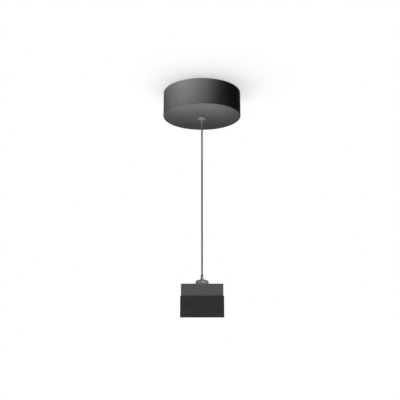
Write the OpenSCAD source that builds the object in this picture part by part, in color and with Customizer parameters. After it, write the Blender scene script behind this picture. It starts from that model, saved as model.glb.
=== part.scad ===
// Ceiling suspension for a light-duty surface profile: a round canopy over a ceiling plate,
// one steel wire on a ball seat, and a wire gripper that carries a swivelling profile clip.
// The origin is the centre of the ceiling plane. Everything hangs below it, and the profile runs along X.

/* [Canopy] */
// Outside diameter of the canopy
canopy_d = 91.5; // [84:0.5:120]
// Height of the canopy below the ceiling
canopy_h = 29.6; // [24:0.1:40]
// Sheet thickness of the canopy
canopy_wall = 1.5; // [1:0.1:2.5]
// Outer radius where the canopy's side turns into its underside
canopy_edge_r = 1; // [0.4:0.1:1.4]

/* [Ceiling plate] */
// Width of the plate over its turned-down edges
plate_w = 26; // [22:1:34]
// Sheet thickness of the plate
plate_t = 2; // [1.5:0.1:2.5]
// Gap from each end of the plate to the canopy's side
plate_end_gap = 4; // [2:0.5:6]
// Height of the turned-down edges, sheet included
plate_edge_h = 5; // [4:0.5:8]
// Distance between the two fixing slots
slot_spacing = 56; // [50:1:58]
// Width of a fixing slot
slot_w = 4.6; // [4:0.1:5.5]
// Length of a fixing slot, end to end
slot_len = 12; // [8:0.5:14]
// Depth of the drawn neck that holds the threaded tube, below the sheet
neck_h = 3; // [2:0.5:4]
// Wall of the drawn neck
neck_wall = 2.2; // [1.5:0.1:3]

/* [Threaded tube and nut] */
// Thread diameter of the hollow tube
tube_d = 8; // [7.6:0.1:9]
// Length of the tube that stands out below the canopy
tube_out = 1.8; // [1.4:0.1:2]
// Thickness of the toothed washer
tooth_washer_t = 0.8; // [0.5:0.1:1.2]
// Outside diameter of the toothed washer over its teeth
tooth_washer_d = 15; // [14:0.5:18]
// Number of teeth on the washer
washer_teeth = 14; // [10:1:18]
// Length of a washer's tooth
tooth_len = 1.2; // [0.8:0.1:1.5]
// Width of a washer's tooth
tooth_w = 1.6; // [1:0.1:1.8]
// Width across the flats of the lock nut
nut_af = 13; // [12.5:0.5:16]
// Height of the lock nut
nut_h = 4; // [3:0.5:6]

/* [Outlet collar] */
// Outside diameter of the collar under the canopy
collar_d = 11.2; // [11:0.1:13]
// Height of the collar below the canopy
collar_h = 3.9; // [3.8:0.1:4.6]
// Height of the collar's straight rim, above its cone
collar_rim_h = 1.4; // [0.8:0.1:1.8]
// Diameter of the collar's nose, where the wire comes out
collar_nose_d = 5.8; // [5:0.1:6.6]
// Height of the mouth below the ball's seat
mouth_h = 0.7; // [0.5:0.1:0.8]

/* [Wire] */
// Diameter of the steel wire
wire_d = 2; // [1.5:0.1:2]
// Diameter of the ball swaged on the wire's upper end
end_ball_d = 5; // [4.8:0.1:5.2]
// Distance from the canopy's underside to the top of the clip block
wire_drop = 195.3; // [80:0.1:400]
// Most that the wire leans before it meets the collar's mouth, in degrees
wire_lean = 12; // [5:1:14]
// Length of wire below the gripping balls
wire_tail = 4; // [3:0.5:5]

/* [Gripper] */
// Diameter of the gripper's domed flange
dome_d = 14.7; // [13.5:0.1:18]
// Height of the domed flange
dome_h = 4.7; // [4.2:0.1:5.4]
// Radius of the flange's shoulder
dome_r = 3.1; // [2:0.1:3.6]
// Diameter of the shank that turns in the clip block
shank_d = 11; // [10.8:0.1:12]
// Length of the straight guide at the top of the gripper's bore
guide_len = 3.2; // [3:0.1:3.6]
// Diameter at the narrow end of the gripping cone
cone_top_d = 5.2; // [5.1:0.05:5.3]
// Length of the gripping cone
cone_len = 9; // [8.5:0.1:9]
// Half angle of the gripping cone, in degrees
cone_angle = 9.5; // [9:0.1:10]
// Diameter of the three gripping balls
grip_ball_d = 2; // [1.9:0.05:2]
// Thickness of the plug that closes the gripper
plug_h = 2.6; // [2:0.1:2.8]
// Diameter of the wire's way out through the plug
plug_bore_d = 2.8; // [2.6:0.1:3.4]
// Width of the driver's slot in the plug
plug_slot_w = 1.1; // [0.8:0.1:1.4]
// Depth of the driver's slot in the plug
plug_slot_depth = 0.9; // [0.6:0.1:1.1]

/* [Release plunger] */
// Diameter of the nozzle that the wire goes in through
nozzle_d = 3; // [2.8:0.1:3.4]
// Height of the nozzle's tip above the flange
nozzle_rise = 5.8; // [5:0.1:8]
// Chamfer on the nozzle's tip
nozzle_chamfer = 0.1; // [0.05:0.01:0.14]
// Diameter of the plunger in its guide
plunger_d = 4.8; // [4.7:0.05:4.85]
// Height of the plunger's foot above the flange at rest
foot_rise = 0.6; // [0.3:0.1:1]
// Diameter of the flange at the foot of the ball cage
cage_flange_d = 6.2; // [5.8:0.1:6.2]
// Thickness of the flange at the foot of the ball cage
cage_flange_t = 0.7; // [0.5:0.1:0.9]
// Wire diameter of the spring
spring_wire_d = 0.45; // [0.3:0.05:0.5]
// Mean diameter of the spring
spring_mean_d = 4.6; // [4.2:0.1:5]
// Turns of the spring between its closed ends
spring_turns = 3; // [2:1:3]
// Closed turns at each end of the spring
closed_turns = 1; // [1:0.25:1.5]

/* [Swivel retainer] */
// Thickness of the block that the shank turns in
swivel_len = 8; // [7.5:0.1:8.5]
// Thickness of the thrust washer
thrust_t = 0.8; // [0.5:0.1:1]
// Outside diameter of the thrust washer
thrust_d = 16; // [14.5:0.5:16.5]
// Thickness of the retaining ring
ring_t = 0.9; // [0.7:0.1:1]
// Outside diameter of the retaining ring
ring_d = 14; // [13.6:0.1:14.5]
// Depth of the ring's groove
groove_depth = 0.5; // [0.3:0.05:0.6]
// Diameter of each eye of the ring
ring_eye_d = 2.5; // [2.2:0.1:2.6]
// Diameter of the hole for the pliers in each eye
ring_eye_hole_d = 1; // [0.8:0.1:1.2]
// How far the eyes stand out from the middle of the ring's band
ring_eye_out = 0.4; // [0.2:0.1:0.6]
// Angle between the middle of the ring's gap and each eye, in degrees
ring_eye_angle = 21; // [20:1:30]
// Angle between the middle of the ring's gap and each of its ends, in degrees
ring_gap_angle = 9; // [5:1:9]
// Diameter of the recess under the block that clears the ring
recess_d = 17.6; // [17.2:0.1:19]

/* [Clip block] */
// Length of the block along the profile
block_w = 45.8; // [42:0.1:60]
// Depth of the block across the profile
block_depth = 38; // [32:0.5:40]
// Height of the block
block_h = 13; // [12.8:0.1:18]
// Chamfer on the outer edges of the block and saddle
edge_chamfer = 0.2; // [0.1:0.1:0.8]
// Distance between the two screws that join the block and saddle
screw_spacing = 30; // [28:0.5:34]

/* [Profile saddle] */
// Length of the saddle along the profile
saddle_w = 47.2; // [43:0.1:62]
// Width of the profile that it holds
profile_w = 35.5; // [34:0.5:40]
// Height of the profile that it holds
profile_h = 17.8; // [14:0.1:24]
// Wall over the profile
top_wall = 3.5; // [3.2:0.1:5]
// Wall in front of the profile
front_wall = 2.05; // [1.5:0.05:3]
// Wall behind the profile, thick enough for the lock screw
back_wall = 4; // [3.8:0.1:6]
// Thickness of the lips under the profile
lip_t = 1.2; // [1:0.1:2]
// Width of each lip
lip_w = 4; // [2:0.5:6]
// Fillet in the channel's corners
channel_fillet = 0.5; // [0.2:0.1:0.8]
// Diameter of the hole that lets the wire's tail through
tail_hole_d = 4.4; // [4:0.1:6]

/* [Screws and lock] */
// Diameter of the countersunk screws
screw_d = 4; // [3.5:0.1:4.5]
// Length of the countersunk screws
screw_len = 11; // [9:0.5:12]
// Head diameter of the countersunk screws
screw_head_d = 7.4; // [7:0.1:8]
// Width across the flats of the screws' hexagon sockets
socket_af = 2.5; // [2:0.1:2.8]
// Depth of the screws' hexagon sockets
socket_depth = 1.6; // [1:0.1:1.8]
// Depth of thread in the block beyond the screws' ends
tap_extra = 1; // [0.5:0.1:1.5]
// Diameter of the lock screw
lock_d = 4; // [3.5:0.1:5]
// Width across the flats of the lock screw's hexagon socket
lock_socket_af = 2; // [1.5:0.1:2.2]
// Travel of the lock screw and its pad
lock_travel = 1.05; // [0.5:0.05:1.1]
// Diameter of the pressure pad
pad_d = 8; // [7:0.1:10]
// Thickness of the pressure pad
pad_t = 1.2; // [1.15:0.05:1.5]
// Diameter of the lock screw's tip, which turns in the pad
tip_d = 2; // [1.5:0.1:2.4]
// Length of the lock screw's tip
tip_len = 0.6; // [0.4:0.1:0.8]

/* [Clearances] */
// Gap round a thread, on the radius
thread_gap = 0.05; // [0.03:0.01:0.06]
// Running gap round a turning or sliding piece, on the radius
run_gap = 0.06; // [0.04:0.01:0.08]
// Gap between the wire and what it slides through, on the radius
wire_gap = 0.08; // [0.05:0.01:0.1]
// Gap between the swaged ball and its seat
seat_gap = 0.05; // [0.03:0.01:0.08]
// Gap between the wire and the collar's mouth at full lean
mouth_gap = 0.15; // [0.1:0.01:0.2]
// Gap that lets the swaged ball pass down the threaded tube, on the radius
pass_gap = 0.2; // [0.15:0.01:0.3]
// Gap between a gripping ball and the wire, the cone and its window
ball_gap = 0.05; // [0.03:0.01:0.06]
// Gap between the profile and the channel on each side
profile_gap = 0.2; // [0.1:0.05:0.4]
// Gap that keeps a face clear of the one over it
face_gap = 0.05; // [0.03:0.01:0.08]
// Gap round a screw's shank in a plain hole, on the radius
hole_gap = 0.2; // [0.15:0.01:0.3]
// Gap between the shank's lower end and the saddle
end_gap = 0.4; // [0.3:0.1:0.6]

/* [Hidden] */
$fn = 96;
canopy_sides = 180;
ball_sides = 48;
hole_sides = 24;
hexagon_sides = 6;
// Extra length that carries a cut clean through a face
cut = 1;
// Three balls hold the wire in the middle
grip_ball_count = 3;
grip_ball_step = 360 / grip_ball_count;

// Radii that several pieces share
canopy_r = canopy_d / 2;
tube_r = tube_d / 2;
tube_bore_r = end_ball_d / 2 + pass_gap;
wire_r = wire_d / 2;
end_ball_r = end_ball_d / 2;
seat_r = end_ball_r + seat_gap;
shank_r = shank_d / 2;
plunger_r = plunger_d / 2;
guide_r = plunger_r + run_gap;
plunger_bore_r = wire_r + wire_gap;
cone_top_r = cone_top_d / 2;
cone_end_r = cone_top_r + cone_len * tan(cone_angle);
groove_r = shank_r - groove_depth;

// Levels of the ceiling end, from the ceiling down
canopy_bottom_z = -canopy_h;
neck_bottom_z = -plate_t - neck_h;
nut_top_z = neck_bottom_z - tooth_washer_t;
tube_end_z = canopy_bottom_z - tube_out;
collar_end_z = canopy_bottom_z - collar_h;

// The ball sits where the leaning wire's mouth cone meets the ball's seat
lean_slope = tan(wire_lean);
mouth_min_r = wire_r / cos(wire_lean) + mouth_gap;
seat_root =
  pow(lean_slope * mouth_min_r, 2)
  - (1 + pow(lean_slope, 2)) * (pow(mouth_min_r, 2) - pow(seat_r, 2));
seat_drop = (sqrt(seat_root) - lean_slope * mouth_min_r) / (1 + pow(lean_slope, 2));
ball_z = collar_end_z + mouth_h + seat_drop;

// Levels of the clip end
block_top_z = canopy_bottom_z - wire_drop;
block_bottom_z = block_top_z - block_h;
dome_top_z = block_top_z + dome_h;
cone_top_z = dome_top_z - guide_len;
cone_end_z = cone_top_z - cone_len;
shank_end_z = block_bottom_z + end_gap;
plug_top_z = shank_end_z + plug_h;
swivel_end_z = block_top_z - swivel_len;
ring_top_z = swivel_end_z - thrust_t - face_gap;
groove_h = ring_t + face_gap;

// The gripping balls rest where the cone is just wide enough for them round the wire
grip_ball_r = grip_ball_d / 2;
grip_circle_r = wire_r + grip_ball_r + ball_gap;
grip_cone_r = grip_circle_r + (grip_ball_r + ball_gap) / cos(cone_angle);
grip_z = cone_top_z - (grip_cone_r - cone_top_r) / tan(cone_angle);
window_r = grip_ball_r + ball_gap;
cage_flange_z = grip_z - window_r - cage_flange_t;
cage_end_z = cage_flange_z - cage_flange_t;
wire_end_z = grip_z - wire_tail;

// Centre line of the spring, between the plug and the cage's flange
spring_sides = 8;
spring_steps = 16;
spring_mean_r = spring_mean_d / 2;
spring_low_z = plug_top_z + spring_wire_d / 2 + face_gap;
spring_high_z = cage_end_z - spring_wire_d / 2 - face_gap;
closed_pitch = spring_wire_d + face_gap;
open_pitch = (spring_high_z - spring_low_z - 2 * closed_turns * closed_pitch) / spring_turns;
spring_count = (spring_turns + 2 * closed_turns) * spring_steps;

// Channel of the saddle
channel_half = profile_w / 2 + profile_gap;
channel_top_z = block_bottom_z - top_wall;
channel_h = profile_h + profile_gap;
saddle_bottom_z = channel_top_z - channel_h - lip_t;
saddle_h = block_bottom_z - saddle_bottom_z;
saddle_front_y = -channel_half - front_wall;
saddle_back_y = channel_half + back_wall;
pocket_depth = pad_t + face_gap;
lock_z = channel_top_z - channel_h / 2;
tapped_depth = screw_len - top_wall + tap_extra;

// Diameter over the corners of a hexagon of width af across its flats
function corner_d(af) = af / cos(180 / hexagon_sides);

// A ring between two radii, from level z up by h
module ring(outer_r, inner_r, z, h) {
  translate([0, 0, z])
    difference() {
      cylinder(r = outer_r, h = h);
      translate([0, 0, -cut])
        cylinder(r = inner_r, h = h + 2 * cut);
    }
}

// A box with all its outer edges chamfered, standing on z = 0 and centred in X and Y
module chamfered_box(w, d, h, c) {
  intersection() {
    linear_extrude(h)
      chamfered_rect(w, d, c);
    translate([0, d / 2, h / 2])
      rotate([90, 0, 0])
        linear_extrude(d)
          chamfered_rect(w, h, c);
    translate([-w / 2, 0, h / 2])
      rotate([90, 0, 90])
        linear_extrude(w)
          chamfered_rect(d, h, c);
  }
}

// A rectangle centred on the origin with its corners cut off
module chamfered_rect(w, h, c) {
  x = w / 2;
  y = h / 2;
  polygon([
    [x - c, -y], [x, -y + c], [x, y - c], [x - c, y],
    [-x + c, y], [-x, y - c], [-x, -y + c], [-x + c, -y]
  ]);
}

// A slot with round ends along X
module slot(length, width) {
  for (side = [-1, 1])
    translate([side * (length - width) / 2, 0])
      circle(d = width);
  square([length - width, width], center = true);
}

// Pressed steel plate: flat in the middle, edges turned down, a drawn neck for the tube
module ceiling_plate() {
  color("#9a9da1")
    difference() {
      union() {
        intersection() {
          rotate([90, 0, 90])
            linear_extrude(canopy_d, center = true)
              plate_section();
          translate([0, 0, -plate_edge_h - cut])
            cylinder(r = canopy_r - canopy_wall - plate_end_gap, h = plate_edge_h + 2 * cut);
        }
        translate([0, 0, neck_bottom_z])
          cylinder(r = tube_r + neck_wall, h = neck_h + plate_t / 2);
      }
      translate([0, 0, neck_bottom_z - cut])
        cylinder(r = tube_r + thread_gap, h = neck_h + plate_t + 2 * cut);
      for (side = [-1, 1])
        translate([side * slot_spacing / 2, 0, -plate_t - cut])
          linear_extrude(plate_t + 2 * cut)
            slot(slot_len, slot_w);
    }
}

// The plate's section across its width, with bends as wide as the sheet is thick
module plate_section() {
  for (side = [0, 1])
    mirror([side, 0]) {
      translate([0, -plate_t])
        square([plate_w / 2 - plate_t, plate_t]);
      translate([plate_w / 2 - plate_t, -plate_edge_h])
        square([plate_t, plate_edge_h - plate_t]);
      intersection() {
        translate([plate_w / 2 - plate_t, -plate_t])
          circle(r = plate_t);
        translate([plate_w / 2 - plate_t, -plate_t])
          square(plate_t);
      }
    }
}

// Hollow threaded tube: the wire's ball drops down it to the seat
module threaded_tube() {
  color("#b4b6b9")
    ring(tube_r, tube_bore_r, tube_end_z, -face_gap - tube_end_z);
}

// Toothed washer that stops the nut from working loose
module toothed_washer() {
  color("#8f9296")
    translate([0, 0, nut_top_z])
      linear_extrude(tooth_washer_t)
        difference() {
          union() {
            circle(d = tooth_washer_d - 2 * tooth_len);
            for (i = [0 : washer_teeth - 1])
              rotate(i * 360 / washer_teeth)
                translate([0, -tooth_w / 2])
                  square([tooth_washer_d / 2, tooth_w]);
          }
          circle(r = tube_r + hole_gap);
        }
}

// Hexagon lock nut with its corners turned off, under the washer
module lock_nut() {
  corner_r = corner_d(nut_af) / 2;
  color("#b4b6b9")
    translate([0, 0, nut_top_z - nut_h])
      difference() {
        intersection() {
          cylinder(r = corner_r, h = nut_h, $fn = hexagon_sides);
          rotate_extrude()
            chamfered_half(corner_r, nut_h, corner_r - nut_af / 2);
        }
        translate([0, 0, -cut])
          cylinder(r = tube_r + thread_gap, h = nut_h + 2 * cut);
      }
}

// Half section of a disc whose two rims are chamfered
module chamfered_half(r, h, c) {
  polygon([[0, 0], [r - c, 0], [r, c / 2], [r, h - c / 2], [r - c, h], [0, h]]);
}

// Drawn steel cup, open at the ceiling
module canopy_cup() {
  color("#2c2d2f")
    rotate_extrude($fn = canopy_sides)
      difference() {
        cup_half(canopy_r, canopy_h, canopy_edge_r);
        translate([0, canopy_wall])
          cup_half(canopy_r - canopy_wall, canopy_h, canopy_edge_r);
        translate([0, -canopy_h - cut])
          square([tube_r + hole_gap, canopy_wall + 2 * cut]);
      }
}

// Half section of a solid cup of height h below z = 0, with a round lower edge
module cup_half(r, h, edge) {
  translate([0, -h])
    square([r - edge, h]);
  translate([0, edge - h])
    square([r, h - edge]);
  translate([r - edge, edge - h])
    circle(r = edge);
}

// Turned collar: screws on the tube, holds the canopy up and seats the wire's ball
module outlet_collar() {
  color("#4b4c4e")
    difference() {
      translate([0, 0, canopy_bottom_z])
        rotate_extrude()
          polygon([
            [0, 0], [collar_d / 2, 0], [collar_d / 2, -collar_rim_h],
            [collar_nose_d / 2, -collar_h], [0, -collar_h]
          ]);
      translate([0, 0, tube_end_z - face_gap])
        cylinder(r = tube_r + thread_gap, h = tube_out + face_gap + cut);
      translate([0, 0, ball_z])
        sphere(r = seat_r);
      translate([0, 0, collar_end_z - cut])
        cylinder(r1 = mouth_r(collar_end_z - cut), r2 = mouth_min_r, h = ball_z - collar_end_z + cut);
    }
}

// Radius of the collar's mouth at level z: it follows the leaning wire
function mouth_r(z) = (ball_z - z) * lean_slope + mouth_min_r;

// Steel ball swaged on the wire
module wire_end_ball() {
  color("#c2c4c6")
    difference() {
      translate([0, 0, ball_z])
        sphere(r = end_ball_r);
      translate([0, 0, ball_z - end_ball_d])
        cylinder(r = wire_r, h = 2 * end_ball_d);
    }
}

// Steel wire rope, as its outer diameter, from the ball's top to below the gripping balls
module suspension_wire() {
  wire_top_z = ball_z + sqrt(pow(end_ball_r, 2) - pow(wire_r, 2));
  color("#7c7d80")
    translate([0, 0, wire_end_z])
      cylinder(r = wire_r, h = wire_top_z - wire_end_z);
}

// Turned gripper: domed flange, shank with a ring groove, guide and gripping cone inside
module gripper_body() {
  color("#6b6c6e")
    rotate_extrude()
      difference() {
        union() {
          translate([0, block_top_z])
            dome_half();
          translate([0, shank_end_z])
            square([shank_r, block_top_z - shank_end_z]);
        }
        polygon([
          [0, dome_top_z + cut], [guide_r, dome_top_z + cut], [guide_r, cone_top_z],
          [cone_top_r, cone_top_z], [cone_end_r, cone_end_z],
          [cone_end_r, shank_end_z - cut], [0, shank_end_z - cut]
        ]);
        translate([groove_r, ring_top_z - groove_h])
          square([groove_depth + cut, groove_h]);
      }
}

// Half section of the flange, its shoulder rounded
module dome_half() {
  square([dome_d / 2 - dome_r, dome_h]);
  square([dome_d / 2, dome_h - dome_r]);
  intersection() {
    translate([dome_d / 2 - dome_r, dome_h - dome_r])
      circle(r = dome_r);
    translate([dome_d / 2 - dome_r, dome_h - dome_r])
      square(dome_r);
  }
}

// Nozzle and ball cage in one turned piece: pressing it carries the balls down the cone
module release_plunger() {
  nozzle_top_z = dome_top_z + nozzle_rise;
  foot_z = dome_top_z + foot_rise;
  color("#77787b")
    difference() {
      rotate_extrude()
        polygon([
          [plunger_bore_r, cage_end_z], [cage_flange_d / 2, cage_end_z],
          [cage_flange_d / 2, cage_flange_z], [plunger_r, cage_flange_z],
          [plunger_r, foot_z], [nozzle_d / 2, foot_z + plunger_r - nozzle_d / 2],
          [nozzle_d / 2, nozzle_top_z - nozzle_chamfer], [nozzle_d / 2 - nozzle_chamfer, nozzle_top_z],
          [plunger_bore_r + nozzle_chamfer, nozzle_top_z], [plunger_bore_r, nozzle_top_z - nozzle_chamfer]
        ]);
      for (i = [0 : grip_ball_count - 1])
        translate([0, 0, grip_z])
          rotate([0, 90, i * grip_ball_step])
            cylinder(r = window_r, h = cage_flange_d);
    }
}

// Three hardened balls in the cage's windows
module grip_balls() {
  color("#d0d2d4")
    for (i = [0 : grip_ball_count - 1])
      rotate(i * grip_ball_step)
        translate([grip_circle_r, 0, grip_z])
          sphere(r = grip_ball_r, $fn = ball_sides);
}

// Level of the spring's centre line after a number of turns
function spring_z(turns) =
  spring_low_z
  + closed_pitch * (min(turns, closed_turns) + max(turns - spring_turns - closed_turns, 0))
  + open_pitch * min(max(turns - closed_turns, 0), spring_turns);

// One ring of points round the spring's wire, square to its centre line
function spring_ring(i) =
  let (
    turns = i / spring_steps,
    a = 360 * turns,
    rise = (spring_z(turns + 1 / spring_steps) - spring_z(turns)) * spring_steps,
    out = [cos(a), sin(a), 0],
    along = [-sin(a), cos(a), rise / (2 * PI * spring_mean_r)],
    up = cross(out, along / norm(along))
  )
  [for (k = [0 : spring_sides - 1])
    spring_mean_r * out + [0, 0, spring_z(turns)]
    + spring_wire_d / 2 * (cos(360 * k / spring_sides) * out + sin(360 * k / spring_sides) * up)];

// Spring under the cage: closed turns at its ends, open turns between
module grip_spring() {
  points = [for (i = [0 : spring_count]) each spring_ring(i)];
  sides = [
    for (i = [0 : spring_count - 1], k = [0 : spring_sides - 1])
      let (n = (k + 1) % spring_sides, a = i * spring_sides, b = a + spring_sides)
      [a + k, b + k, b + n, a + n]
  ];
  first = [for (k = [0 : spring_sides - 1]) k];
  last = [for (k = [spring_sides - 1 : -1 : 0]) spring_count * spring_sides + k];
  color("#a8abae")
    polyhedron(points, concat([first, last], sides));
}

// Threaded plug that closes the gripper and carries the spring, slotted for a driver
module base_plug() {
  color("#77787b")
    difference() {
      ring(cone_end_r - thread_gap, plug_bore_d / 2, shank_end_z, plug_h);
      translate([-shank_r, -plug_slot_w / 2, shank_end_z - cut])
        cube([shank_d, plug_slot_w, plug_slot_depth + cut]);
    }
}

// Plain washer between the block's shoulder and the ring
module thrust_washer() {
  color("#b4b6b9")
    ring(thrust_d / 2, shank_r + run_gap, swivel_end_z - thrust_t, thrust_t);
}

// Open retaining ring with two eyes for the pliers
module retaining_ring() {
  eye_place_r = (groove_r + ring_d / 2) / 2 + ring_eye_out;
  color("#3c3d40")
    translate([0, 0, ring_top_z - ring_t])
      linear_extrude(ring_t)
        difference() {
          union() {
            circle(d = ring_d);
            for (side = [-1, 1])
              rotate(side * ring_eye_angle)
                translate([eye_place_r, 0])
                  circle(d = ring_eye_d);
          }
          circle(r = groove_r + thread_gap);
          polygon([
            [0, 0],
            recess_d * [cos(ring_gap_angle), sin(ring_gap_angle)],
            recess_d * [cos(ring_gap_angle), -sin(ring_gap_angle)]
          ]);
          for (side = [-1, 1])
            rotate(side * ring_eye_angle)
              translate([eye_place_r, 0])
                circle(d = ring_eye_hole_d, $fn = hole_sides);
        }
}

// Upper block of the clip: bore and recess for the gripper, tapped holes for the saddle
module clip_block() {
  color("#525252")
    difference() {
      translate([0, 0, block_bottom_z])
        chamfered_box(block_w, block_depth, block_h, edge_chamfer);
      translate([0, 0, block_bottom_z - cut])
        cylinder(r = shank_r + run_gap, h = block_h + 2 * cut);
      translate([0, 0, block_bottom_z - cut])
        cylinder(d = recess_d, h = block_h - swivel_len + cut);
      for (side = [-1, 1])
        translate([side * screw_spacing / 2, 0, block_bottom_z - cut])
          cylinder(r = screw_d / 2 + thread_gap, h = tapped_depth + cut);
    }
}

// Lower sleeve of the clip: wraps the profile from above and hooks under both its edges
module profile_saddle() {
  depth = saddle_back_y - saddle_front_y;
  color("#313131")
    difference() {
      translate([0, (saddle_front_y + saddle_back_y) / 2, saddle_bottom_z])
        chamfered_box(saddle_w, depth, saddle_h, edge_chamfer);
      translate([0, 0, channel_top_z])
        rotate([90, 0, 90])
          linear_extrude(saddle_w + 2 * cut, center = true)
            channel_section();
      translate([0, 0, channel_top_z - cut])
        cylinder(d = tail_hole_d, h = top_wall + 2 * cut);
      for (side = [-1, 1])
        translate([side * screw_spacing / 2, 0, channel_top_z])
          sunk_screw_room();
      translate([0, channel_half - cut, lock_z])
        rotate([-90, 0, 0])
          cylinder(r = pad_d / 2 + run_gap, h = pocket_depth + cut);
      translate([0, channel_half, lock_z])
        rotate([-90, 0, 0])
          cylinder(r = lock_d / 2 + thread_gap, h = back_wall + cut);
    }
}

// Section of the channel, its top on y = 0: filleted corners above, an open mouth below
module channel_section() {
  f = channel_fillet;
  translate([-channel_half, -channel_h])
    square([2 * channel_half, channel_h - f]);
  translate([f - channel_half, -f])
    square([2 * (channel_half - f), f]);
  for (side = [-1, 1])
    translate([side * (channel_half - f), -f])
      circle(r = f);
  translate([lip_w - channel_half, -channel_h - lip_t - cut])
    square([2 * (channel_half - lip_w), lip_t + 2 * cut]);
}

// Room for a countersunk screw that goes up from the channel's top at z = 0
module sunk_screw_room() {
  sink_r = screw_head_d / 2 + thread_gap;
  shank_hole_r = screw_d / 2 + hole_gap;
  translate([0, 0, -cut])
    cylinder(r = shank_hole_r, h = top_wall + 2 * cut);
  cylinder(r1 = sink_r, r2 = shank_hole_r, h = sink_r - shank_hole_r);
  translate([0, 0, -cut])
    cylinder(r = sink_r, h = cut);
}

// Two countersunk screws that hold the saddle to the block, heads flush in the channel
module saddle_screws() {
  head_r = screw_head_d / 2;
  color("#3c3d40")
    for (side = [-1, 1])
      translate([side * screw_spacing / 2, 0, channel_top_z])
        difference() {
          union() {
            cylinder(r = screw_d / 2, h = screw_len);
            cylinder(r1 = head_r, r2 = screw_d / 2, h = head_r - screw_d / 2);
          }
          translate([0, 0, -cut])
            cylinder(d = corner_d(socket_af), h = socket_depth + cut, $fn = hexagon_sides);
        }
}

// Pressure pad: lies in a pocket of the back wall and is pushed against the profile
module lock_pad() {
  color("#8f9296")
    translate([0, channel_half + face_gap, lock_z])
      rotate([-90, 0, 0])
        difference() {
          cylinder(d = pad_d, h = pad_t);
          translate([0, 0, pad_t - tip_len - face_gap])
            cylinder(r = tip_d / 2 + run_gap, h = tip_len + face_gap + cut);
        }
}

// Lock screw, backed off by its travel, with its tip in the pad
module lock_screw() {
  screw_back = back_wall + lock_travel - pocket_depth;
  color("#3c3d40")
    translate([0, channel_half + pocket_depth, lock_z])
      rotate([-90, 0, 0])
        difference() {
          union() {
            translate([0, 0, -tip_len])
              cylinder(d = tip_d, h = tip_len + cut);
            cylinder(d = lock_d, h = screw_back);
          }
          translate([0, 0, screw_back - socket_depth])
            cylinder(d = corner_d(lock_socket_af), h = socket_depth + cut, $fn = hexagon_sides);
        }
}

ceiling_plate();
threaded_tube();
toothed_washer();
lock_nut();
canopy_cup();
outlet_collar();
wire_end_ball();
suspension_wire();
gripper_body();
release_plunger();
grip_balls();
grip_spring();
base_plug();
thrust_washer();
retaining_ring();
clip_block();
profile_saddle();
saddle_screws();
lock_pad();
lock_screw();
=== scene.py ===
import math

import bmesh
import bpy
from mathutils import Matrix, Vector


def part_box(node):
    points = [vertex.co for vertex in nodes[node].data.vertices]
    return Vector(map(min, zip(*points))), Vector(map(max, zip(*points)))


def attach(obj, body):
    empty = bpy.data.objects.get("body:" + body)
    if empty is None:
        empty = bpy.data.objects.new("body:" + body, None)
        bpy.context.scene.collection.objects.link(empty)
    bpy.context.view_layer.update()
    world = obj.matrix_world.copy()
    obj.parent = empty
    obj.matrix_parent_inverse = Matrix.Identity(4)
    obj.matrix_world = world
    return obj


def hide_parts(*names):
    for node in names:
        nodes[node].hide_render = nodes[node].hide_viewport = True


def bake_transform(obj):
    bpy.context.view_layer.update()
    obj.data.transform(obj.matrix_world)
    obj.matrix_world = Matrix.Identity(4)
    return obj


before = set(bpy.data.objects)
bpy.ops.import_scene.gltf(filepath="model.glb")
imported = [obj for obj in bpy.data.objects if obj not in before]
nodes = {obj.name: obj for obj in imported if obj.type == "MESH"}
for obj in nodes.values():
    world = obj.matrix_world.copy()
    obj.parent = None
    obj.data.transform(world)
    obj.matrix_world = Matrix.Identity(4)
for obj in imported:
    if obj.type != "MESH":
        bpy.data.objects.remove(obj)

# Looks of a suspension kit: a round canopy under the ceiling, one wire rope and a clip.
MM = 0.001
TURN = 2 * math.pi
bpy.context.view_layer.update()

# Canopy
CANOPY_WALL = 1.5 * MM
CANOPY_EDGE = 1.0 * MM
CANOPY_RIM = 0.3 * MM
CANOPY_BORE = 4.2 * MM
CANOPY_STEPS = 256

# Threads, as depth and pitch
TUBE_THREAD = (0.6 * MM, 1.0 * MM)
SCREW_THREAD = (0.42 * MM, 0.7 * MM)
THREAD_STEPS = 72
THREAD_ROWS = 8

# A thread's groove in shares of the pitch: from its middle to its edge, and the width of a flank
GROOVE_EDGE = 0.3375
GROOVE_FLANK = 0.25

# Hollow stud
TUBE_BORE = 2.7 * MM

# Lock screw
LOCK_TIP = 1.0 * MM
LOCK_TIP_EDGE = 0.2 * MM
LOCK_TIP_LENGTH = 0.6 * MM
LOCK_SOCKET = 2.0 * MM

# Countersunk screws of the clip
SCREW_R = 2.0 * MM
SCREW_HEAD_R = 3.7 * MM
SCREW_HEAD_RIM = 0.15 * MM
SCREW_SOCKET = 2.5 * MM

# Hexagon sockets of both kinds of screw
SOCKET_DEPTH = 1.6 * MM

# Wire rope: each layer has a count of wires, a radius and a lay, the length of one turn
ROPE_WIRE = 0.2 * MM
ROPE_LAYERS = ((1, 0.0, 30 * MM), (6, 0.4 * MM, 10 * MM), (12, 0.8 * MM, 19 * MM))
ROPE_STEP = 0.65 * MM
ROPE_SIDES = 8

# Spring in the gripper: radius of its wire, pitch of its closed turns, and turns in all
SPRING_WIRE = 0.225 * MM
SPRING_CLOSED_PITCH = 0.5 * MM
SPRING_TURNS = 5
SPRING_STEPS = 40
SPRING_SIDES = 14

# Camera, level with the clip and tilted up by an angle in degrees
CAMERA_LENS = 45.72
CAMERA_SENSOR = 36
CAMERA_PLACE = (-0.0023, -0.5744, -0.2403)
CAMERA_TILT = 10.93

# Ceiling and floor: half their width, their heights, and the floor's grey and glow
SHEET = 8
CEILING_Z = 0.0003
FLOOR_Z = -1.1
FLOOR_GREY = 0.5
FLOOR_GLOW = 0.985

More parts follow.
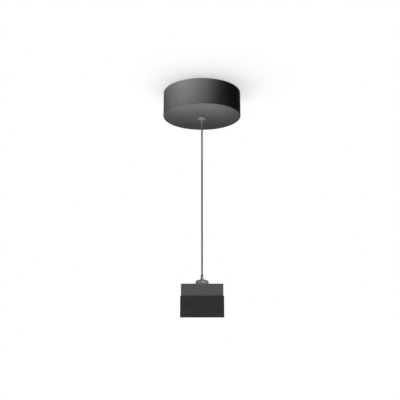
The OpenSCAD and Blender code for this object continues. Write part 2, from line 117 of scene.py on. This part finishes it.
# Soft shadow round the canopy: its reach, its lean, the openness at which it starts, and its depth
SHADOW_REACH = 0.075
SHADOW_LEAN = (-0.15, 0.5, -0.87)
SHADOW_START = 0.935
SHADOW_DEPTH = 0.66

# Light from the surroundings: how far to the rear it starts, from 0 to 1, and its strength there
REAR_START = 0.2
REAR_LIGHT = 0.3

# Part of a noise's range that covers a finish's whole range
NOISE_LOW = 0.3
NOISE_HIGH = 0.7


# Mesh pieces

def piece(name, points, faces, crease=32):
    """A mesh piece, smooth except at edges sharper than the crease angle in degrees."""
    mesh = bpy.data.meshes.new(name)
    mesh.from_pydata(points, [], faces)
    mesh.validate()
    mesh.shade_smooth()
    mesh.set_sharp_from_angle(angle=math.radians(crease))
    made = bpy.data.objects.new(name, mesh)
    bpy.context.scene.collection.objects.link(made)
    return made


def spun(name, rows, steps, closed=False):
    """A turned piece: rows of (radius, height) from one end to the other, spun round the z axis.
    A radius may be a function of the angle. Closed rows make a ring, open ones a solid."""
    points = []
    for radius, height in rows:
        for i in range(steps):
            angle = TURN * i / steps
            r = radius(angle) if callable(radius) else radius
            points.append((r * math.cos(angle), r * math.sin(angle), height))
    faces = []
    last = len(rows) if closed else len(rows) - 1
    for row in range(last):
        low = row * steps
        high = (row + 1) % len(rows) * steps
        for i in range(steps):
            j = (i + 1) % steps
            faces.append((low + i, low + j, high + j, high + i))
    if not closed:
        faces.append(tuple(reversed(range(steps))))
        faces.append(tuple(range((len(rows) - 1) * steps, len(rows) * steps)))
    return piece(name, points, faces)


def arc(centre_r, centre_z, radius, start, end, steps=8):
    """Rows of a round corner in a turned piece's section, angles in degrees from outward to up."""
    turns = [math.radians(start + (end - start) * i / steps) for i in range(steps + 1)]
    return [(centre_r + radius * math.cos(a), centre_z + radius * math.sin(a)) for a in turns]


def threaded(radius, thread, low, high):
    """Rows of a screw thread between two heights, run out to its root at both ends."""
    depth, pitch = thread

    def crest(height):
        run_out = min(1, (height - low) / pitch, (high - height) / pitch)

        def at(angle):
            phase = (height / pitch - angle / TURN) % 1
            cut = min(1, max(0, (GROOVE_EDGE - abs(phase - 0.5)) / GROOVE_FLANK))
            return radius - depth * max(cut, 1 - run_out)
        return at

    count = round((high - low) / pitch * THREAD_ROWS)
    heights = [low + (high - low) * i / count for i in range(count + 1)]
    return [(crest(height), height) for height in heights]


def hexagon(across_flats):
    """Radius of a hexagon as a function of the angle."""
    def at(angle):
        turn = (angle + math.pi / 6) % (math.pi / 3) - math.pi / 6
        return across_flats / 2 / math.cos(turn)
    return at


def wires(name, lines, radius, sides, blunt=0.75):
    """Round wires along lines of points, each ring square to its line and blunted at both ends."""
    points, faces = [], []
    for line in lines:
        first = len(points)
        last = len(line) - 1
        for i, centre in enumerate(line):
            along = (line[min(i + 1, last)] - line[max(i - 1, 0)]).normalized()
            out = Vector((centre.x, centre.y, 0))
            out = out.normalized() if out.length > radius / 2 else Vector((1, 0, 0))
            side = along.cross(out).normalized()
            out = side.cross(along)
            r = radius * (blunt if i in (0, last) else 1)
            for k in range(sides):
                a = TURN * k / sides
                points.append(centre + r * (math.cos(a) * out + math.sin(a) * side))
        for i in range(last):
            low, high = first + i * sides, first + (i + 1) * sides
            for k in range(sides):
                n = (k + 1) % sides
                faces.append((low + k, low + n, high + n, high + k))
        faces.append(tuple(first + k for k in reversed(range(sides))))
        faces.append(tuple(first + last * sides + k for k in range(sides)))
    return piece(name, points, faces, crease=50)


def dress(made, slot, material, *replaced):
    """Gives a piece its finish and puts it in place of its nodes."""
    made.data.materials.clear()
    made.data.materials.append(material)
    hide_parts(*replaced)


def wear(made, body, slot, material, *replaced):
    """Puts a piece on its body, in its finish and in place of its nodes."""
    dress(made, slot, material, *replaced)
    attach(made, body)


# Node trees

def add(tree, kind, values=None, **settings):
    """A node with its settings and its inputs. An input that is given a socket is linked to it."""
    node = tree.nodes.new(kind)
    for key, value in settings.items():
        setattr(node, key, value)
    for key, value in (values or {}).items():
        if isinstance(value, bpy.types.NodeSocket):
            tree.links.new(value, node.inputs[key])
        else:
            node.inputs[key].default_value = value
    return node


def math_node(tree, operation, a, b=0.0):
    return add(tree, "ShaderNodeMath", {0: a, 1: b}, operation=operation).outputs[0]


def blend(tree, first, second, share):
    """The first value and a share of the second one, which together keep the range from 0 to 1."""
    kept = math_node(tree, "MULTIPLY", first, 1 - share)
    return math_node(tree, "ADD", kept, math_node(tree, "MULTIPLY", second, share))


def noise(tree, place, scale, detail=2.0, roughness=0.5):
    """Noise from 0 to 1 whose features are about 1 / scale metres wide."""
    return add(tree, "ShaderNodeTexNoise", {
        "Vector": place, "Scale": scale, "Detail": detail, "Roughness": roughness,
    }).outputs["Fac"]


def spread_noise(tree, value, low=0.0, high=1.0):
    """A noise, spread so that it runs from the low to the high value."""
    return add(tree, "ShaderNodeMapRange", {
        "Value": value, "From Min": NOISE_LOW, "From Max": NOISE_HIGH, "To Min": low, "To Max": high,
    }).outputs["Result"]


def effect_group(name, inputs, make):
    """A node group with float inputs that puts out the height, tone and gloss that make() gives."""
    tree = bpy.data.node_groups.new(name, "ShaderNodeTree")
    for label, start in inputs.items():
        socket = tree.interface.new_socket(label, in_out="INPUT", socket_type="NodeSocketFloat")
        socket.default_value = start
    for label in ("Height", "Tone", "Gloss"):
        tree.interface.new_socket(label, in_out="OUTPUT", socket_type="NodeSocketFloat")
    given = tree.nodes.new("NodeGroupInput")
    result = tree.nodes.new("NodeGroupOutput")
    place = add(tree, "ShaderNodeTexCoord").outputs["Object"]
    for socket, value in zip(result.inputs, make(tree, given.outputs, place)):
        tree.links.new(value, socket)
    return tree


def powder_coat(tree, given, place):
    """Powder coat: orange peel about a millimetre wide, fine grain and a faint cloudiness."""
    peel = noise(tree, place, given["Peel"], detail=1.0)
    grain = noise(tree, place, given["Grain"], detail=3.0, roughness=0.6)
    cloud = noise(tree, place, 55.0, detail=3.0)
    return blend(tree, peel, grain, 0.25), blend(tree, grain, cloud, 0.45), blend(tree, peel, cloud, 0.6)


def lathe_marks(tree, given, place):
    x, y, z = add(tree, "ShaderNodeSeparateXYZ", {0: place}).outputs
    square = math_node(tree, "ADD", math_node(tree, "MULTIPLY", x, x), math_node(tree, "MULTIPLY", y, y))
    run = math_node(tree, "ADD", math_node(tree, "SQRT", square), z)
    ring = add(tree, "ShaderNodeTexNoise", {
        "W": math_node(tree, "MULTIPLY", run, given["Rings"]), "Scale": 1.0, "Detail": 3.0,
    }, noise_dimensions="1D").outputs["Fac"]
    pits = noise(tree, place, given["Pits"], detail=3.0, roughness=0.65)
    cloud = noise(tree, place, 240.0)
    return blend(tree, ring, pits, 0.3), blend(tree, ring, cloud, 0.5), pits


def plating(tree, given, place):
    """Plated or blackened steel: soft cells of crystal, fine pits and drifting cloud."""
    cells = add(tree, "ShaderNodeTexVoronoi", {
        "Vector": place, "Scale": given["Cells"], "Smoothness": 0.6,
    }, feature="SMOOTH_F1").outputs["Distance"]
    pits = noise(tree, place, given["Pits"], detail=3.0, roughness=0.6)
    cloud = noise(tree, place, 130.0, detail=3.0)
    return pits, blend(tree, cells, cloud, 0.65), cloud


def drawn_wire(tree, given, place):
    """Drawn wire: streaks along the wires and a dull film that gathers here and there."""
    stretched = add(tree, "ShaderNodeMapping", {"Vector": place, "Scale": (1, 1, 0.12)}).outputs[0]
    streaks = noise(tree, stretched, given["Streaks"])
    film = noise(tree, place, given["Film"], detail=3.0)
    return streaks, blend(tree, streaks, film, 0.4), film


# Finishes

def grey(level):
    """A grey written as its screen level from 0 to 255, as linear red, green, blue and alpha."""
    value = ((level / 255 + 0.055) / 1.055) ** 2.4
    return (value, value, value, 1)


def finish(name, group, tones, gloss, metallic, relief, specular=0.5, **scales):
    """One finish: its grey and its roughness each run between two values by the group's tone and gloss."""
    material = bpy.data.materials.new(name)
    material.use_nodes = True
    tree = material.node_tree
    shader = tree.nodes["Principled BSDF"]
    effect = add(tree, "ShaderNodeGroup", node_tree=group)
    for label, value in scales.items():
        effect.inputs[label].default_value = value
    ramp = add(tree, "ShaderNodeValToRGB", {"Fac": spread_noise(tree, effect.outputs["Tone"])})
    ramp.color_ramp.elements[0].color = grey(tones[0])
    ramp.color_ramp.elements[1].color = grey(tones[1])
    rough = spread_noise(tree, effect.outputs["Gloss"], *gloss)
    bump = add(tree, "ShaderNodeBump", {"Height": effect.outputs["Height"], "Distance": relief * MM})
    tree.links.new(ramp.outputs["Color"], shader.inputs["Base Color"])
    tree.links.new(rough, shader.inputs["Roughness"])
    tree.links.new(bump.outputs["Normal"], shader.inputs["Normal"])
    shader.inputs["Metallic"].default_value = metallic
    shader.inputs["Specular IOR Level"].default_value = specular
    return material


powder = effect_group("powder_coat", {"Peel": 900.0, "Grain": 5200.0}, powder_coat)
turning = effect_group("lathe_marks", {"Rings": 7000.0, "Pits": 2600.0}, lathe_marks)
plated = effect_group("plating", {"Cells": 800.0, "Pits": 4200.0}, plating)
drawn = effect_group("drawn_wire", {"Streaks": 6000.0, "Film": 150.0}, drawn_wire)

canopy_coat = finish("canopy_satin_coat", powder, (84, 92), (0.5, 0.58), 0.0, 0.03, specular=0.08)
block_coat = finish("block_grey_coat", powder, (80, 88), (0.55, 0.65), 0.0, 0.03, specular=0.08)
saddle_coat = finish("saddle_charcoal_coat", powder, (45, 51), (0.55, 0.65), 0.0, 0.03, specular=0.06)
turned_grey = finish("turned_grey_satin", turning, (112, 124), (0.62, 0.72), 0.1, 0.004, specular=0.2)
steel_rope = finish("drawn_steel_rope", drawn, (104, 114), (0.58, 0.64), 0.3, 0.006)
zinc = finish("zinc_plated_steel", plated, (138, 164), (0.42, 0.58), 0.9, 0.008)
bright = finish("bright_steel", plated, (180, 200), (0.12, 0.25), 1.0, 0.003, Cells=2500.0)
black = finish("black_oxide_steel", plated, (40, 58), (0.35, 0.55), 0.6, 0.006)

WORN_BY = {
    canopy_coat: ("canopy_cup",),
    block_coat: ("clip_block",),
    saddle_coat: ("profile_saddle",),
    turned_grey: ("outlet_collar", "gripper_body", "release_plunger", "base_plug"),
    steel_rope: ("suspension_wire",),
    zinc: ("ceiling_plate", "threaded_tube", "toothed_washer", "lock_nut", "thrust_washer", "lock_pad"),
    bright: ("wire_end_ball", "grip_balls", "grip_spring"),
    black: ("retaining_ring", "saddle_screws", "lock_screw"),
}
for material, names in WORN_BY.items():
    for name in names:
        slots = nodes[name].data.materials
        slots.clear()
        slots.append(material)


# Camera

camera_data = bpy.data.cameras.new("camera")
camera_data.lens = CAMERA_LENS
camera_data.sensor_width = CAMERA_SENSOR
camera = bpy.data.objects.new("camera", camera_data)
bpy.context.scene.collection.objects.link(camera)
camera.location = CAMERA_PLACE
camera.rotation_euler = (math.radians(90 + CAMERA_TILT), 0, 0)
bpy.context.scene.camera = camera
bpy.context.scene.view_settings.view_transform = "Standard"


# Pieces

def canopy():
    """Drawn cup with a rounded lower edge, a broken rim at the ceiling and a hole for the wire."""
    low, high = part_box("canopy_cup")
    radius = min(high.x, high.y, -low.x, -low.y)
    inner = radius - CANOPY_WALL
    outside = arc(radius - CANOPY_EDGE, low.z + CANOPY_EDGE, CANOPY_EDGE, -90, 0)
    rim = arc(radius - CANOPY_RIM, high.z - CANOPY_RIM, CANOPY_RIM, 0, 90, 4)
    inside = arc(inner - CANOPY_EDGE, low.z + CANOPY_WALL + CANOPY_EDGE, CANOPY_EDGE, 0, -90)
    floor_top = low.z + CANOPY_WALL
    rows = [(CANOPY_BORE, low.z), *outside, *rim, (inner, high.z), *inside, (CANOPY_BORE, floor_top)]
    made = spun("canopy", rows, CANOPY_STEPS, closed=True)
    wear(made, "ceiling", "canopy_coat", canopy_coat, "canopy_cup")


def tube():
    """Threaded tube with a plain bore."""
    low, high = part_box("threaded_tube")
    radius = (high.x - low.x) / 2
    rows = [*threaded(radius, TUBE_THREAD, low.z, high.z), (TUBE_BORE, high.z), (TUBE_BORE, low.z)]
    made = spun("hollow_stud", rows, THREAD_STEPS, closed=True)
    wear(made, "ceiling", "zinc_steel", zinc, "threaded_tube")


def rope():
    """Strand of nineteen wires in two layers round a core, ground to a blunt tip."""
    low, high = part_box("suspension_wire")
    lines = []
    for count, place, lay in ROPE_LAYERS:
        steps = round((high.z - low.z) / ROPE_STEP) if place else 1
        heights = [low.z + (high.z - low.z) * i / steps for i in range(steps + 1)]
        for wire in range(count):
            line = []
            for z in heights:
                a = TURN * (z / lay + wire / count)
                line.append(Vector((place * math.cos(a), place * math.sin(a), z)))
            lines.append(line)
    made = wires("wire_rope", lines, ROPE_WIRE, ROPE_SIDES)
    wear(made, "wire", "wire_rope", steel_rope, "suspension_wire")


def lock_screw():
    """Grub screw with a turned tip, a thread and a hexagon socket, tip forward through the back wall."""
    low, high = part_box("lock_screw")
    radius = (high.x - low.x) / 2
    length = high.y - low.y
    rows = threaded(radius, SCREW_THREAD, LOCK_TIP_LENGTH, length)
    tip = [(LOCK_TIP - LOCK_TIP_EDGE, 0), (LOCK_TIP, LOCK_TIP_EDGE), (LOCK_TIP, LOCK_TIP_LENGTH)]
    socket = [(hexagon(LOCK_SOCKET), length), (hexagon(LOCK_SOCKET), length - SOCKET_DEPTH)]
    made = spun("lock_grub_screw", [*tip, *rows, *socket], THREAD_STEPS)
    axis = Vector(((low.x + high.x) / 2, low.y, (low.z + high.z) / 2))
    made.data.transform(Matrix.Translation(axis) @ Matrix.Rotation(math.radians(-90), 4, "X"))
    wear(made, "lock", "black_oxide", black, "lock_screw")


def clip_screws():
    """Two countersunk screws with hexagon sockets, heads down."""
    low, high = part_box("saddle_screws")
    neck = low.z + SCREW_HEAD_R - SCREW_R
    socket = [(hexagon(SCREW_SOCKET), low.z + SOCKET_DEPTH), (hexagon(SCREW_SOCKET), low.z)]
    head_r = SCREW_HEAD_R - SCREW_HEAD_RIM
    head = [(head_r, low.z), (head_r, low.z + SCREW_HEAD_RIM)]
    rows = [*socket, *head, (SCREW_R, neck), *threaded(SCREW_R, SCREW_THREAD, neck, high.z)]
    made = spun("clip_screws", rows, THREAD_STEPS)
    both = bmesh.new()
    for side in (low.x + SCREW_HEAD_R, high.x - SCREW_HEAD_R):
        shifted = made.data.copy()
        shifted.transform(Matrix.Translation((side, 0, 0)))
        both.from_mesh(shifted)
        bpy.data.meshes.remove(shifted)
    both.to_mesh(made.data)
    both.free()
    wear(made, "clip", "black_oxide", black, "saddle_screws")


def spring():
    """Compression spring with one closed turn at each end. The whole spring stays where it is."""
    low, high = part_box("grip_spring")
    radius = (high.x - low.x) / 2 - SPRING_WIRE
    start = low.z + SPRING_WIRE
    climb = high.z - low.z - 2 * SPRING_WIRE
    open_pitch = (climb - 2 * SPRING_CLOSED_PITCH) / (SPRING_TURNS - 2)
    line = []
    for i in range(SPRING_TURNS * SPRING_STEPS + 1):
        turns = i / SPRING_STEPS
        closed = min(turns, 1) + max(turns - SPRING_TURNS + 1, 0)
        z = start + closed * SPRING_CLOSED_PITCH + (turns - closed) * open_pitch
        line.append(Vector((radius * math.cos(TURN * turns), radius * math.sin(TURN * turns), z)))
    made = wires("gripper_spring", [line], SPRING_WIRE, SPRING_SIDES, blunt=0.9)
    dress(made, "bright_steel", bright, "grip_spring")
    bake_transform(made)


canopy()
tube()
rope()
spring()
clip_screws()
lock_screw()


# Room: white ceiling, pale floor, white surroundings, cards and soft lamps

def stage_plane(name, corners, material, rays):
    """A flat sheet of the studio that only the named kinds of rays meet."""
    mesh = bpy.data.meshes.new(name)
    mesh.from_pydata(corners, [], [(0, 1, 2, 3)])
    mesh.materials.append(material)
    made = bpy.data.objects.new(name, mesh)
    bpy.context.scene.collection.objects.link(made)
    for kind in ("camera", "diffuse", "glossy", "transmission", "shadow"):
        setattr(made, "visible_" + kind, kind in rays)


def paint(name):
    """An empty node material and its tree."""
    material = bpy.data.materials.new(name)
    material.use_nodes = True
    material.node_tree.nodes.clear()
    return material, material.node_tree


def ceiling_paint():
    """White ceiling paint that shows the canopy's soft contact shadow, and nothing from above."""
    material, tree = paint("ceiling_paint")
    lean = add(tree, "ShaderNodeCombineXYZ", dict(enumerate(SHADOW_LEAN))).outputs[0]
    open_share = add(tree, "ShaderNodeAmbientOcclusion", {
        "Distance": SHADOW_REACH, "Normal": lean,
    }, samples=16).outputs["AO"]
    covered = math_node(tree, "MAXIMUM", math_node(tree, "SUBTRACT", SHADOW_START, open_share), 0.0)
    shade = math_node(tree, "SUBTRACT", 1.0, math_node(tree, "MULTIPLY", covered, SHADOW_DEPTH))
    white = add(tree, "ShaderNodeEmission", {"Color": (1, 1, 1, 1), "Strength": shade}).outputs[0]
    clear = add(tree, "ShaderNodeBsdfTransparent").outputs[0]
    above = add(tree, "ShaderNodeNewGeometry").outputs["Backfacing"]
    shown = add(tree, "ShaderNodeMixShader", {0: above, 1: white, 2: clear}).outputs[0]
    add(tree, "ShaderNodeOutputMaterial", {"Surface": shown})
    return material


def floor_paint():
    """Pale floor, white where nothing shades it."""
    material, tree = paint("floor_paint")
    matt = add(tree, "ShaderNodeBsdfDiffuse", {"Color": (FLOOR_GREY, FLOOR_GREY, FLOOR_GREY, 1)}).outputs[0]
    glow = add(tree, "ShaderNodeEmission", {"Color": (1, 1, 1, 1), "Strength": FLOOR_GLOW}).outputs[0]
    both = add(tree, "ShaderNodeAddShader", {0: matt, 1: glow}).outputs[0]
    add(tree, "ShaderNodeOutputMaterial", {"Surface": both})
    return material


def card_paint(level):
    """Plain card that shows one even level, from 0 for black to 1 for white."""
    material, tree = paint("card_paint")
    even = add(tree, "ShaderNodeEmission", {"Color": (1, 1, 1, 1), "Strength": level}).outputs[0]
    add(tree, "ShaderNodeOutputMaterial", {"Surface": even})
    return material


def surroundings():
    """White where it is seen or mirrored. As light it is weak, and comes from behind."""
    world = bpy.data.worlds.new("surroundings")
    bpy.context.scene.world = world
    world.use_nodes = True
    tree = world.node_tree
    tree.nodes.clear()
    way = add(tree, "ShaderNodeTexCoord").outputs["Generated"]
    y = add(tree, "ShaderNodeSeparateXYZ", {0: way}).outputs[1]
    light = add(tree, "ShaderNodeMapRange", {
        "Value": y, "From Min": REAR_START, "From Max": 1.0, "To Min": 0.0, "To Max": REAR_LIGHT,
    }, interpolation_type="SMOOTHSTEP").outputs["Result"]
    path = add(tree, "ShaderNodeLightPath").outputs
    seen = math_node(tree, "MAXIMUM", path["Is Camera Ray"], path["Is Glossy Ray"])
    seen = math_node(tree, "MAXIMUM", seen, path["Is Transmission Ray"])
    strength = add(tree, "ShaderNodeMix", {
        "Factor": seen, "A": light, "B": 1.0,
    }, data_type="FLOAT").outputs["Result"]
    shown = add(tree, "ShaderNodeBackground", {"Color": (1, 1, 1, 1), "Strength": strength}).outputs[0]
    add(tree, "ShaderNodeOutputWorld", {"Surface": shown})


def soft_lamp(name, place, aim, width, height, watts, spread=180, mirrored=True):
    """An area lamp that shines from its place towards its aim, over the spread of its grid in degrees."""
    data = bpy.data.lights.new(name, "AREA")
    data.shape = "RECTANGLE"
    data.size = width
    data.size_y = height
    data.energy = watts
    data.spread = math.radians(spread)
    lamp = bpy.data.objects.new(name, data)
    bpy.context.scene.collection.objects.link(lamp)
    lamp.location = place
    lamp.rotation_euler = (Vector(aim) - Vector(place)).to_track_quat("-Z", "Y").to_euler()
    lamp.visible_camera = False
    lamp.visible_glossy = mirrored


def level_sheet(name, height, material):
    """A wide level sheet that only the camera sees, its face down as a ceiling or up as a floor."""
    plan = ((-SHEET, SHEET), (SHEET, SHEET), (SHEET, -SHEET), (-SHEET, -SHEET))
    corners = [(x, y, height) for x, y in plan]
    if height < 0:
        corners.reverse()
    stage_plane(name, corners, material, ("camera",))


def card(name, edge_a, edge_b, low, high, material):
    """An upright card over the line between two points of the floor plan, met by glossy rays only."""
    corners = [(*edge_a, low), (*edge_b, low), (*edge_b, high), (*edge_a, high)]
    stage_plane(name, corners, material, ("glossy",))


def softbox(name, middle, azimuth, elevation, distance, size, watts, spread=180, aside=0.0, mirrored=True):
    """Aside moves the lamp and its aim along its own width, so that its beam passes beside the middle."""
    turn, rise = math.radians(azimuth), math.radians(elevation)
    out = Vector((math.sin(turn) * math.cos(rise), -math.cos(turn) * math.cos(rise), math.sin(rise)))
    aim = Vector(middle) + aside * Vector((math.cos(turn), math.sin(turn), 0))
    soft_lamp(name, aim + distance * out, aim, size, size, watts, spread, mirrored)


level_sheet("ceiling", CEILING_Z, ceiling_paint())
level_sheet("floor", FLOOR_Z, floor_paint())

dark = card_paint(0.02)
dim = card_paint(0.3)
card("right_card", (0.4, -0.8), (0.4, 0.7), low=-0.9, high=0.9, material=dark)
card("left_card", (-0.4, 0.0), (-0.4, 0.6), low=-0.9, high=0.7, material=dark)
card("rear_card", (-0.6, 0.6), (0.6, 0.6), low=-1.0, high=0.7, material=dim)
surroundings()

CANOPY_TOP = (0, 0, 0.02)
CANOPY_MIDDLE = (0, 0, -0.014)
BELOW_COLLAR = (0, 0, -0.0395)
WIRE_MIDDLE = (0, 0, -0.12)
DOME_MIDDLE = (0, 0, -0.22)
CLIP_MIDDLE = (0, 0, -0.24)

softbox("key", CANOPY_MIDDLE, -50, 45, 0.25, 0.15, 0.37)
softbox("front_beam", CANOPY_TOP, -50, 25, 0.35, 0.14, 0.04, spread=40, aside=0.1)
softbox("left_beam", CANOPY_TOP, -66, 25, 0.35, 0.14, 0.104, spread=20, aside=0.1, mirrored=False)
softbox("side_beam", CANOPY_TOP, -74, 25, 0.35, 0.14, 0.112, spread=20, aside=0.1, mirrored=False)
softbox("clip_left", CLIP_MIDDLE, -40, 18, 0.35, 0.16, 0.05, spread=50)
softbox("clip_right", CLIP_MIDDLE, 40, 18, 0.35, 0.16, 0.068, spread=50)
softbox("clip_low", CLIP_MIDDLE, -20, -50, 0.4, 0.3, 0.6)
softbox("collar_spot", BELOW_COLLAR, 38, -3, 0.2, 0.006, 0.0006, spread=4)
softbox("dome_spot", DOME_MIDDLE, 60, 20, 0.2, 0.012, 0.0003, spread=5)
softbox("rear_softbox", WIRE_MIDDLE, 172, 40, 0.7, 0.5, 6, mirrored=False)

# Strips under the canopy that shine straight up: place, aim, width, height and watts
soft_lamp("low_strip", (-0.006, -0.03, -0.085), (-0.006, -0.03, 0), 0.112, 0.02, 0.042)
soft_lamp("rim_strip", (-0.006, -0.037, -0.048), (-0.006, -0.037, 0), 0.074, 0.006, 0.0055)
